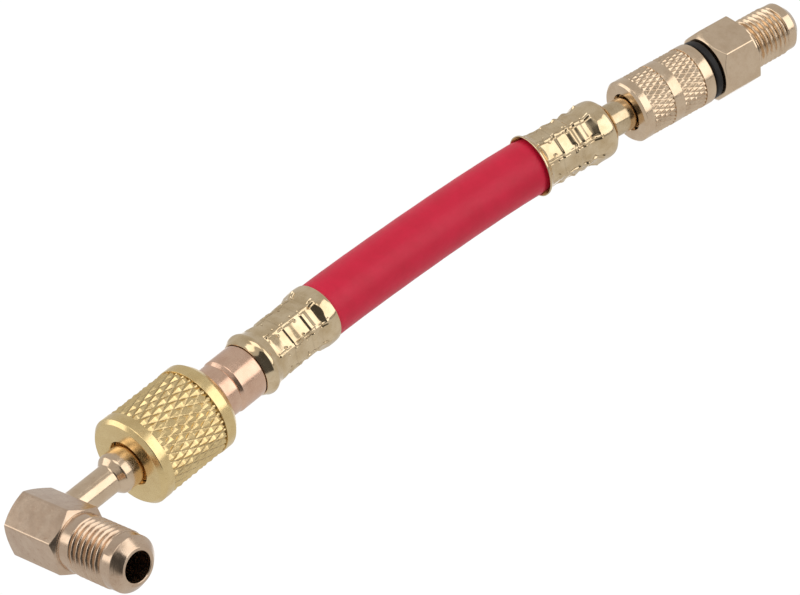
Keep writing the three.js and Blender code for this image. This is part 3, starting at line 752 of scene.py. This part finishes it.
# Floor, light and camera
def make_floor():
    """A floor that the camera sees as white paper. Every other ray passes through it."""
    mesh = bpy.data.meshes.new("floor")
    half = 3.0
    corners = [(-half, -half, 0), (half, -half, 0), (half, half, 0), (-half, half, 0)]
    mesh.from_pydata(corners, [], [(0, 1, 2, 3)])
    floor = bpy.data.objects.new("floor", mesh)
    floor.location.z = -0.2 * MM
    bpy.context.scene.collection.objects.link(floor)
    material = bpy.data.materials.new("studio_paper")
    material.use_nodes = True
    tree = material.node_tree
    tree.nodes.remove(tree.nodes["Principled BSDF"])
    seen = add_node(tree, "ShaderNodeEmission", Strength=WHITE)
    lit = tree.nodes.new("ShaderNodeBsdfTransparent")
    path = tree.nodes.new("ShaderNodeLightPath")
    mix = tree.nodes.new("ShaderNodeMixShader")
    tree.links.new(path.outputs["Is Camera Ray"], mix.inputs["Fac"])
    tree.links.new(lit.outputs["BSDF"], mix.inputs[1])
    tree.links.new(seen.outputs["Emission"], mix.inputs[2])
    tree.links.new(mix.outputs["Shader"], tree.nodes["Material Output"].inputs["Surface"])
    mesh.materials.append(material)


def make_world():
    """White to the camera. For light it is a grey studio with the panels of the list above."""
    world = bpy.data.worlds.new("studio")
    bpy.context.scene.world = world
    world.use_nodes = True
    tree = world.node_tree
    link = tree.links.new
    tree.nodes.clear()
    direction = tree.nodes.new("ShaderNodeTexCoord").outputs["Generated"]

    def along(vector):
        node = add_node(tree, "ShaderNodeVectorMath", operation="DOT_PRODUCT")
        link(direction, node.inputs[0])
        node.inputs[1].default_value = vector
        return node.outputs["Value"]

    def inside(distance, half, soft):
        result = spread(tree, distance, half - soft, half + soft, 1.0, 0.0)
        result.node.interpolation_type = "SMOOTHSTEP"
        return result

    def panel(level, centre, half_wide, half_high, value, soft, lean):
        """Lays a rectangle of that brightness over the level. Its half sizes are tangents of angles."""
        c = Vector(centre).normalized()
        turn = Matrix.Rotation(math.radians(lean), 3, c)
        u = turn @ Vector((0, 0, 1)).cross(c).normalized()
        v = c.cross(u)
        depth = number(tree, "MAXIMUM", along(c), 0.001)
        wide = number(tree, "ABSOLUTE", number(tree, "DIVIDE", along(u), depth))
        high = number(tree, "ABSOLUTE", number(tree, "DIVIDE", along(v), depth))
        mask = number(tree, "MULTIPLY", inside(wide, half_wide, soft), inside(high, half_high, soft))
        change = number(tree, "MULTIPLY", mask, number(tree, "SUBTRACT", value, level))
        return number(tree, "ADD", level, change)

    level = number(tree, "MULTIPLY_ADD", along((0, 0, 1)), ROOM_SLOPE, ROOM)
    for one in PANELS:
        level = panel(level, *one)
    colour = tree.nodes.new("ShaderNodeCombineColor")
    for socket in colour.inputs[:3]:
        link(level, socket)
    lit = tree.nodes.new("ShaderNodeBackground")
    link(colour.outputs["Color"], lit.inputs["Color"])
    seen = tree.nodes.new("ShaderNodeBackground")
    seen.inputs["Color"].default_value = (1, 1, 1, 1)
    seen.inputs["Strength"].default_value = WHITE
    path = tree.nodes.new("ShaderNodeLightPath")
    mix = tree.nodes.new("ShaderNodeMixShader")
    link(path.outputs["Is Camera Ray"], mix.inputs["Fac"])
    link(lit.outputs["Background"], mix.inputs[1])
    link(seen.outputs["Background"], mix.inputs[2])
    output = tree.nodes.new("ShaderNodeOutputWorld")
    link(mix.outputs["Shader"], output.inputs["Surface"])


def make_camera():
    """The camera fitted to the photograph's outlines, placed from the point where the elbow's axes meet."""
    camera = bpy.data.cameras.new("camera")
    camera.lens = 127.83
    camera.sensor_width = 36.0
    camera.sensor_fit = "HORIZONTAL"
    camera.clip_start = 0.01
    holder = bpy.data.objects.new("camera", camera)
    bpy.context.scene.collection.objects.link(holder)
    right = Vector((0.64928, -0.73124, -0.20909))
    up = Vector((0.52583, 0.23297, 0.81807))
    forward = Vector((0.54949, 0.64110, -0.53577))
    place = (ARM_POINT + Vector((-216.37, -361.79, 292.33))) * MM
    turn = Matrix((right, up, -forward)).transposed().to_quaternion().to_matrix().to_4x4()
    holder.matrix_world = Matrix.Translation(place) @ turn
    bpy.context.scene.camera = holder


make_floor()
make_world()
make_camera()
bpy.context.scene.view_settings.view_transform = "Standard"
